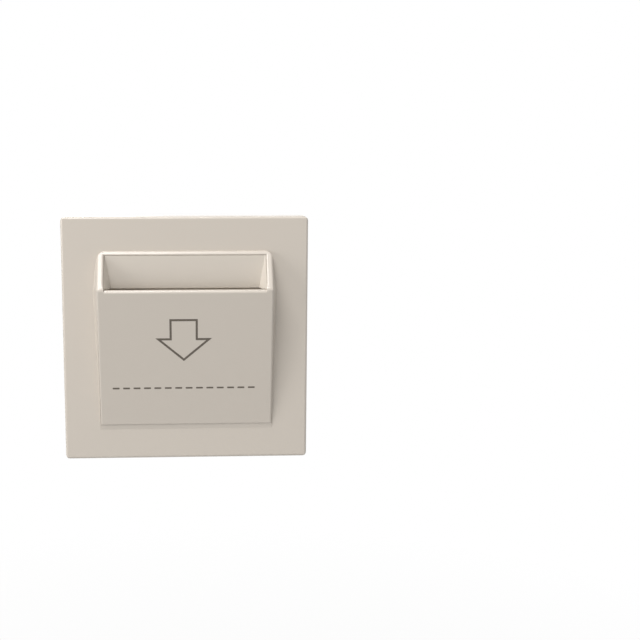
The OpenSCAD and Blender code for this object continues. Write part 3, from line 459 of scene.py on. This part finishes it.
# Finishes that a single noise varies: two tints, and roughness as a range and its least value
fusePlan = {"scale": 500.0, "detail": 2, "tints": ((0.78, 0.82, 0.83, 1), (0.9, 0.93, 0.93, 1)),
            "gloss": (0.08, 0.03), "clear": 0.9, "ior": 1.47}
inkPlan = {"scale": 1400.0, "detail": 3, "tints": ((0.085, 0.070, 0.055, 1), (0.15, 0.128, 0.105, 1)),
           "gloss": (0.2, 0.45)}


def variedFinish(name, plan):
    paint, tree, shader = startFinish(name)
    coords = tree.nodes.new("ShaderNodeTexCoord").outputs["Object"]
    uneven = noiseNode(tree, plan["scale"], coords, plan["detail"])
    tree.links.new(mixColour(tree, uneven, *plan["tints"]), shader.inputs["Base Color"])
    tree.links.new(mathNode(tree, "MULTIPLY_ADD", uneven, *plan["gloss"]), shader.inputs["Roughness"])
    return paint, shader


def fuseFinish(plan):
    # Clear tube whose tint and gloss vary slightly over its wall
    paint, shader = variedFinish("fuse_glass", plan)
    shader.inputs["Transmission Weight"].default_value = plan["clear"]
    shader.inputs["IOR"].default_value = plan["ior"]
    return paint


# The tray gets a lighter copy of the panel's plastic, painted light that brightens its shaded recess, and
# less dust
trayPaintedLightPlan = {**plasticPlans["front_plastic"], "Colour": (0.68, 0.625, 0.555, 1), "Dust": 0.02}
trayPaintedLightPlastic = finishFromGroup("tray_plastic_painted_light", mouldedSkin, trayPaintedLightPlan, reliefPlans["moulded"],
                              coat=coatPlan["front"])
finishes["circuit_board"] = boardFinish("circuit_board")
mainBoardMask = boardFinish("main_board_mask")
finishes["fuse_glass"] = fuseFinish(fusePlan)
printedInk = variedFinish("printedInk", inkPlan)[0]
print("finishes:", len(finishes) + 3)


# Pieces
def addPiece(name, bm, paint, body):
    mesh = bpy.data.meshes.new(name)
    bm.to_mesh(mesh)
    bm.free()
    piece = bpy.data.objects.new(name, mesh)
    bpy.context.scene.collection.objects.link(piece)
    mesh.materials.clear()
    mesh.materials.append(paint)
    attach(piece, body)
    return piece


weldPlan = {"gap": 0.002 * mm, "flatAngle": 0.4}
softPlan = {"sharpFrom": 24, "roomShare": 0.3, "leastWeight": 0.12, "farthest": 10 * mm, "shadeSharpFrom": 38}
tiny = 0.001 * mm
level = 0.000001 * mm  # an edge that rises less than this runs square to its neighbour


def weldedCopy(node):
    # A welded copy of a node's mesh with its flat faces made whole
    bm = bmesh.new()
    bm.from_mesh(frame["nodes"][node].data)
    bmesh.ops.remove_doubles(bm, verts=bm.verts, dist=weldPlan["gap"])
    flat = math.radians(weldPlan["flatAngle"])
    bmesh.ops.dissolve_limit(bm, angle_limit=flat, verts=bm.verts, edges=bm.edges)
    return bm


def roomBeside(edge, sharpEdges):
    # How far the two faces beside an edge run before they meet another sharp edge
    room = softPlan["farthest"]
    for loop in edge.link_loops:
        start = loop.vert.co
        along = loop.link_loop_next.vert.co - start
        length = along.length
        along = along / length
        inward = loop.face.normal.cross(along)
        for other in loop.face.loops:
            if other.edge is edge:
                continue
            near = other.vert.co - start
            far = other.link_loop_next.vert.co - start
            nearAlong, farAlong = near.dot(along), far.dot(along)
            nearIn, farIn = near.dot(inward), far.dot(inward)
            if other is loop.link_loop_next or other is loop.link_loop_prev:
                if abs(farAlong - nearAlong) < 0.9 * (far - near).length:
                    room = min(room, abs(farIn - nearIn))
                continue
            beyond = max(nearAlong, farAlong) <= 0 or min(nearAlong, farAlong) >= length
            if other.edge not in sharpEdges or beyond:
                continue
            span = farAlong - nearAlong
            for place in (nearAlong, farAlong):
                clipped = min(max(place, 0), length)
                share = (clipped - nearAlong) / span if abs(span) > level else 0
                depth = nearIn + (farIn - nearIn) * share
                if depth > tiny:
                    room = min(room, depth)
    return room


def softenEdges(bm, width, steps, leastWeight, special):
    # Moulded edges: each sharp edge is rounded by the width, or by less where the faces beside it are narrow.
    # special gives an edge a width of its own
    sharpAngle = math.radians(softPlan["sharpFrom"])
    weights = bm.edges.layers.float.new("bevel_weight_edge")
    sharpEdges = {edge for edge in bm.edges
                  if len(edge.link_faces) == 2 and edge.calc_face_angle(0.0) > sharpAngle}
    ownWidths = {edge: special(edge) for edge in sharpEdges} if special else {}
    widest = max([width] + [own for own in ownWidths.values() if own])
    for edge in sharpEdges:
        weight = min(1.0, softPlan["roomShare"] * roomBeside(edge, sharpEdges) / width)
        if ownWidths.get(edge):
            edge[weights] = ownWidths[edge] / widest
        elif weight > leastWeight:
            edge[weights] = weight * width / widest
    mesh = bpy.data.meshes.new("softening")
    bm.to_mesh(mesh)
    holder = bpy.data.objects.new("softening", mesh)
    bpy.context.scene.collection.objects.link(holder)
    rounding = holder.modifiers.new("rounding", "BEVEL")
    rounding.limit_method = "WEIGHT"
    rounding.width = widest
    rounding.segments = steps
    rounding.profile = 0.5
    rounding.use_clamp_overlap = False
    rounding.loop_slide = False
    rounded = bpy.data.meshes.new_from_object(holder.evaluated_get(bpy.context.evaluated_depsgraph_get()))
    bm.clear()
    bm.from_mesh(rounded)
    bpy.data.objects.remove(holder)
    bpy.data.meshes.remove(mesh)
    bpy.data.meshes.remove(rounded)


def shadeSoft(piece):
    for face in piece.data.polygons:
        face.use_smooth = True
    piece.data.set_sharp_from_angle(angle=math.radians(softPlan["shadeSharpFrom"]))
    weigh = piece.modifiers.new("evenNormals", "WEIGHTED_NORMAL")
    weigh.keep_sharp = True


def mouldedShell(node, plan, finish=None):
    bm = weldedCopy(node)
    if "shape" in plan:
        plan["shape"](bm)
    leastWeight = plan.get("leastWeight", softPlan["leastWeight"])
    softenEdges(bm, plan["width"], plan["steps"], leastWeight, plan.get("special"))
    for vert in bm.verts:
        vert.co.y = max(vert.co.y, cadLow.y)  # nothing stands out past the ridge
    piece = addPiece(node + "_shell", bm, finish or finishes[slotOf[node]], bodyOf[node])
    shadeSoft(piece)
    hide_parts(node)
    return piece


# The pocket on the front: a wedge whose face falls away below the ridge, and a mouth above it whose
# sloping rim stands round the opening
pocketPlan = {
    "halfWidth": 30.3 * mm,
    "frameY": -8.0 * mm,
    "toeZ": -30.5 * mm,
    "ridgeZ": 18.3 * mm,
    "ridgeY": -16.2 * mm,
    "faceSlope": math.tan(math.radians(8.97)),
    "rimSlope": math.tan(math.radians(29.9)),
    "cornerRound": 1.3 * mm,
    "wallDraft": 0.015,
    "toeRamp": 1.9 * mm,
    "footReach": (32.3 * mm, 33.3 * mm),
    "footSlack": 0.02 * mm,
}
mouthPlan = {
    "halfWidth": 28.0 * mm,
    "topZ": 29.6 * mm,
    "rimRound": 0.75 * mm,
    "roundEnds": (18.6 * mm, 20.6 * mm),
    "roundCuts": 5,
    "floorTop": (-8.7 * mm, 29.45 * mm),
    "floorThroat": (-8.4 * mm, 18.1 * mm),
    "floorLift": 0.8 * mm,
    "floorSlack": 0.03 * mm,
    "seam": 0.13 * mm,
    "seamFrom": 0.2 * mm,
    "crispBand": 0.1 * mm,
    "crisp": 0.01 * mm,
    "rimDepthSlack": 0.05 * mm,
    "rimEdgeSlack": 0.03 * mm,
    "leastRound": 0.02,
}


def pocketFrontY(z):
    below = pocketPlan["ridgeZ"] - z
    slope = pocketPlan["faceSlope"] if below > 0 else -pocketPlan["rimSlope"]
    return pocketPlan["ridgeY"] + below * slope


def onPocketFoot(vert):
    # Where the pocket's walls meet the frame
    onFrame = abs(vert.co.y - pocketPlan["frameY"]) < pocketPlan["footSlack"]
    reachX, reachZ = pocketPlan["footReach"]
    return onFrame and abs(vert.co.x) < reachX and abs(vert.co.z) < reachZ


def onRim(vert):
    inner = min(abs(abs(vert.co.x) - mouthPlan["halfWidth"]), abs(vert.co.z - mouthPlan["topZ"]))
    inMouth = vert.co.z > pocketPlan["ridgeZ"]
    inFront = abs(vert.co.y - pocketFrontY(vert.co.z)) < mouthPlan["rimDepthSlack"]
    return inMouth and inFront and inner < mouthPlan["rimEdgeSlack"]


def cutLevel(bm, faces, z):
    edges = {edge for face in faces for edge in face.edges}
    verts = {vert for face in faces for vert in face.verts}
    bmesh.ops.bisect_plane(bm, geom=list(faces) + list(edges) + list(verts), dist=tiny,
                           plane_co=(0, 0, z), plane_no=(0, 0, 1))


def draftPocketWalls(bm):
    # The walls lean out towards the frame and the toe runs out in a short ramp
    feet = {vert for vert in bm.verts if onPocketFoot(vert)}
    cutLevel(bm, [face for face in bm.faces if len(feet.intersection(face.verts)) > 1], pocketPlan["ridgeZ"])
    for vert in [vert for vert in bm.verts if onPocketFoot(vert)]:
        height = pocketPlan["frameY"] - pocketFrontY(vert.co.z)
        side = math.copysign(1, vert.co.x)
        if abs(vert.co.x) > pocketPlan["halfWidth"] - pocketPlan["cornerRound"]:
            vert.co.x += side * pocketPlan["wallDraft"] * height
        toeShare = (pocketPlan["toeZ"] + pocketPlan["cornerRound"] - vert.co.z) / pocketPlan["cornerRound"]
        if toeShare > 0:
            vert.co.z -= pocketPlan["toeRamp"] * toeShare
    # Cuts across the rim's sides, so that its rolled edge can taper off at the ridge
    low, high = mouthPlan["roundEnds"]
    for index in range(mouthPlan["roundCuts"]):
        rimFaces = [face for face in bm.faces
                    if any(onRim(edge.verts[0]) and onRim(edge.verts[1]) for edge in face.edges)]
        cutLevel(bm, rimFaces, low + (high - low) * index / (mouthPlan["roundCuts"] - 1))


def frontEdgeWidth(edge):
    # The rim's inner edge is rolled over more than the other edges
    if all(onRim(vert) for vert in edge.verts):
        low, high = mouthPlan["roundEnds"]
        middle = (edge.verts[0].co.z + edge.verts[1].co.z) / 2
        return mouthPlan["rimRound"] * min(max((middle - low) / (high - low), mouthPlan["leastRound"]), 1)
    return None


def raiseTrayFloor(bm):
    # The top of the tray's floor comes forward to the rim, and its edges close up to the panel
    topY, topZ = mouthPlan["floorTop"]
    throatY, throatZ = mouthPlan["floorThroat"]
    for vert in bm.verts:
        share = (vert.co.z - throatZ) / (topZ - throatZ)
        if not -0.01 < share < 1.01:
            continue
        if abs(vert.co.y - throatY - share * (topY - throatY)) < mouthPlan["floorSlack"]:
            vert.co.y -= mouthPlan["floorLift"] * share
        if mouthPlan["halfWidth"] - abs(vert.co.x) < mouthPlan["seamFrom"]:
            vert.co.x += math.copysign(mouthPlan["seam"], vert.co.x)
        if mouthPlan["topZ"] - vert.co.z < mouthPlan["seamFrom"]:
            vert.co.z += mouthPlan["seam"]


def trayEdgeWidth(edge):
    # The tray's outer edges at the mouth stay crisp against the panel
    sideX = mouthPlan["halfWidth"] - mouthPlan["crispBand"]
    topZ = mouthPlan["topZ"] - mouthPlan["crispBand"]
    beside = [abs(vert.co.x) > sideX or vert.co.z > topZ for vert in edge.verts]
    return mouthPlan["crisp"] if all(beside) else None


shellPlans = {
    "front_panel": {"width": 0.1 * mm, "steps": 4, "leastWeight": 0.99, "shape": draftPocketWalls,
                    "special": frontEdgeWidth},
    "card_tray": {"width": 0.12 * mm, "steps": 2, "shape": raiseTrayFloor, "special": trayEdgeWidth},
    "mounting_plate": {"width": 0.1 * mm, "steps": 2},
    "module_base": {"width": 0.1 * mm, "steps": 2},
    "rear_cover": {"width": 0.18 * mm, "steps": 3},
}
for node, plan in shellPlans.items():
    # The card tray takes the lighter copy of the front plastic, painted light for the recess
    piece = mouldedShell(node, plan, trayPaintedLightPlastic if node == "card_tray" else None)
    print(node, "softened:", len(piece.data.polygons), "faces")

# Terminal screws: the shank is slimmed to the root of its thread, and a ridge winds round it
threadPlan = {"shank": 1.95 * mm, "shankSlack": 0.05 * mm, "root": 1.64 * mm, "sunk": 0.97,
              "crest": 1.93 * mm, "lead": 0.7 * mm, "land": 0.3 * mm, "steps": 24}
clampPlan = {"width": 0.1 * mm, "steps": 2}


def screwAxis(terminal):
    joint = next(row for row in record["behaviour"]["joints"] if row["name"] == "screw_" + terminal + "_turn")
    return Vector(joint["pos_m"]), Vector(joint["axis"]).normalized()


def shankSlimmer(terminal, shankEnds):
    middle, along = screwAxis(terminal)

    def slim(bm):
        for vert in bm.verts:
            height = (vert.co - middle).dot(along)
            outward = vert.co - middle - along * height
            if abs(outward.length - threadPlan["shank"]) < threadPlan["shankSlack"]:
                shankEnds.append(height)
                vert.co -= outward * (1 - threadPlan["root"] / threadPlan["shank"])

    return slim


def windThread(terminal, low, high, plan):
    middle, along = screwAxis(terminal)
    outward = along.orthogonal().normalized()
    bm = bmesh.new()
    # The ridge's section starts a little inside the root
    sunk = plan["root"] * plan["sunk"]
    section = [(sunk, -plan["land"]), (plan["crest"], 0), (sunk, plan["land"])]
    start = low + plan["land"]
    corners = [bm.verts.new(middle + outward * r + along * (start + h)) for r, h in section]
    edges = [bm.edges.new((corners[index], corners[index - 1])) for index in range(3)]
    turns = (high - low - 2 * plan["land"]) / plan["lead"]
    steps = int(turns * plan["steps"])
    angle = steps / plan["steps"] * 2 * math.pi
    bmesh.ops.spin(bm, geom=corners + edges, cent=middle, axis=along, angle=angle, steps=steps,
                   dvec=along * plan["lead"] / plan["steps"])
    bmesh.ops.holes_fill(bm, edges=[edge for edge in bm.edges if edge.is_boundary], sides=3)
    bmesh.ops.recalc_face_normals(bm, faces=bm.faces)
    slotName = slotOf["terminal_screw_" + terminal]
    shadeSoft(addPiece("screw_thread_" + terminal, bm, finishes[slotName], "screw_" + terminal))


for terminal in ("line_in", "line_out", "neutral"):
    for part in ("terminal_block_", "pressure_pad_"):
        mouldedShell(part + terminal, clampPlan)
    shankEnds = []
    mouldedShell("terminal_screw_" + terminal, {**clampPlan, "shape": shankSlimmer(terminal, shankEnds)})
    windThread(terminal, min(shankEnds), max(shankEnds), threadPlan)
    print("screw", terminal, "threaded over", round((max(shankEnds) - min(shankEnds)) / mm, 2), "mm")


# Prints: thin ink laid on the moulded faces
def surfaceOf(node):
    bm = weldedCopy(node)
    tree = BVHTree.FromBMesh(bm)
    bm.free()
    return tree


frontward = {"into": Vector((0, 1, 0)), "stand": Matrix.Rotation(math.radians(90), 4, "X"),
             "tree": surfaceOf("front_panel"), "body": bodyOf["front_panel"]}
backward = {"into": Vector((0, -1, 0)),
            "stand": Matrix.Rotation(math.radians(180), 4, "Z") @ Matrix.Rotation(math.radians(90), 4, "X"),
            "tree": surfaceOf("rear_cover"), "body": bodyOf["rear_cover"]}


inkDepth = {"proud": 0.02 * mm, "sunk": 0.01 * mm, "from": 100 * mm}


def layInk(name, bm, side, place):
    # A flat shape drawn in XY is stood up, moved to its place and dropped on the face behind it
    stood = Matrix.Translation((place[0], 0, place[1])) @ side["stand"]
    bmesh.ops.transform(bm, matrix=stood, verts=bm.verts)
    for vert in bm.verts:
        vert.co.y = side["tree"].ray_cast(vert.co - side["into"] * inkDepth["from"], side["into"])[0].y
    base = list(bm.verts)
    lifted = bmesh.ops.extrude_face_region(bm, geom=list(bm.faces), use_keep_orig=True)
    tops = [item for item in lifted["geom"] if isinstance(item, bmesh.types.BMVert)]
    bmesh.ops.translate(bm, verts=tops, vec=-side["into"] * inkDepth["proud"])
    bmesh.ops.translate(bm, verts=base, vec=side["into"] * inkDepth["sunk"])
    bmesh.ops.recalc_face_normals(bm, faces=bm.faces)
    return addPiece(name, bm, printedInk, side["body"])


def flatOutline(corners, line, cornerRound=0):
    # A closed line of even width, its corners rounded if asked
    bm = bmesh.new()
    face = bm.faces.new([bm.verts.new((x, y, 0)) for x, y in corners])
    bm.normal_update()
    if face.normal.z < 0:
        face.normal_flip()
    if cornerRound:
        bmesh.ops.bevel(bm, geom=list(bm.verts), offset=cornerRound, affect="VERTICES", segments=4,
                        profile=0.5, material=-1)
    inner = list(bm.faces)
    bmesh.ops.inset_region(bm, faces=inner, thickness=line, use_boundary=True, use_even_offset=True)
    bmesh.ops.delete(bm, geom=inner, context="FACES_ONLY")
    return bm


arrowPlan = {"x": -0.7 * mm, "top": 8.1 * mm, "shoulder": 1.25 * mm, "apex": -7.05 * mm,
             "shaft": 4.9 * mm, "barb": 9.85 * mm, "line": 0.75 * mm}


def printArrow(plan):
    right = [(plan["shaft"], plan["top"]), (plan["shaft"], plan["shoulder"]),
             (plan["barb"], plan["shoulder"])]
    left = [(-x, z) for x, z in reversed(right)]
    outline = flatOutline(right + [(0, plan["apex"])] + left, plan["line"])
    layInk("insert_arrow", outline, frontward, (plan["x"], 0))


rulePlan = {"x": -0.8 * mm, "z": -16.95 * mm, "width": 50 * mm, "dashes": 14, "gap": 1.2 * mm,
            "height": 0.6 * mm, "endRound": 0.24 * mm}


def printDashedRule(plan):
    pitch = (plan["width"] + plan["gap"]) / plan["dashes"]
    bm = bmesh.new()
    for index in range(plan["dashes"]):
        middle = (index - (plan["dashes"] - 1) / 2) * pitch
        size = Matrix.Diagonal((pitch - plan["gap"], plan["height"], 1, 1))
        bmesh.ops.create_grid(bm, x_segments=1, y_segments=1, size=0.5,
                              matrix=Matrix.Translation((middle, 0, 0)) @ size)
    bmesh.ops.bevel(bm, geom=list(bm.verts), offset=plan["endRound"], affect="VERTICES", segments=3,
                    profile=0.5, material=-1)
    layInk("card_rule", bm, frontward, (plan["x"], plan["z"]))


numberPlan = {"size": 4.2 * mm, "z": 8.8 * mm, "x": {"1": 19.5 * mm, "2": 1.0 * mm, "3": -18.5 * mm}}
panelPlan = {"x": (-13.2 * mm, 15.7 * mm), "z": (-22.1 * mm, -17.5 * mm), "line": 0.3 * mm,
             "round": 0.7 * mm}


def printTerminalNumbers(plan):
    for digit, x in plan["x"].items():
        text = bpy.data.curves.new("digit", "FONT")
        text.body = digit
        text.size = plan["size"]
        text.align_x = "CENTER"
        holder = bpy.data.objects.new("digit", text)
        bpy.context.scene.collection.objects.link(holder)
        mesh = bpy.data.meshes.new_from_object(holder.evaluated_get(bpy.context.evaluated_depsgraph_get()))
        bm = bmesh.new()
        bm.from_mesh(mesh)
        bpy.data.objects.remove(holder)
        bpy.data.curves.remove(text)
        bpy.data.meshes.remove(mesh)
        layInk("terminal_number_" + digit, bm, backward, (x, plan["z"]))


def printBlankPanel(plan):
    halfWide = (plan["x"][1] - plan["x"][0]) / 2
    halfHigh = (plan["z"][1] - plan["z"][0]) / 2
    corners = [(-halfWide, -halfHigh), (halfWide, -halfHigh), (halfWide, halfHigh), (-halfWide, halfHigh)]
    middle = (sum(plan["x"]) / 2, sum(plan["z"]) / 2)
    layInk("blank_panel", flatOutline(corners, plan["line"], plan["round"]), backward, middle)


printArrow(arrowPlan)
printDashedRule(rulePlan)
printTerminalNumbers(numberPlan)
printBlankPanel(panelPlan)
print("prints laid")

for node, thing in frame["nodes"].items():
    if thing.hide_render:
        continue
    thing.data.materials.clear()
    thing.data.materials.append(mainBoardMask if node == "main_board" else finishes[slotOf[node]])
print("remaining nodes painted")
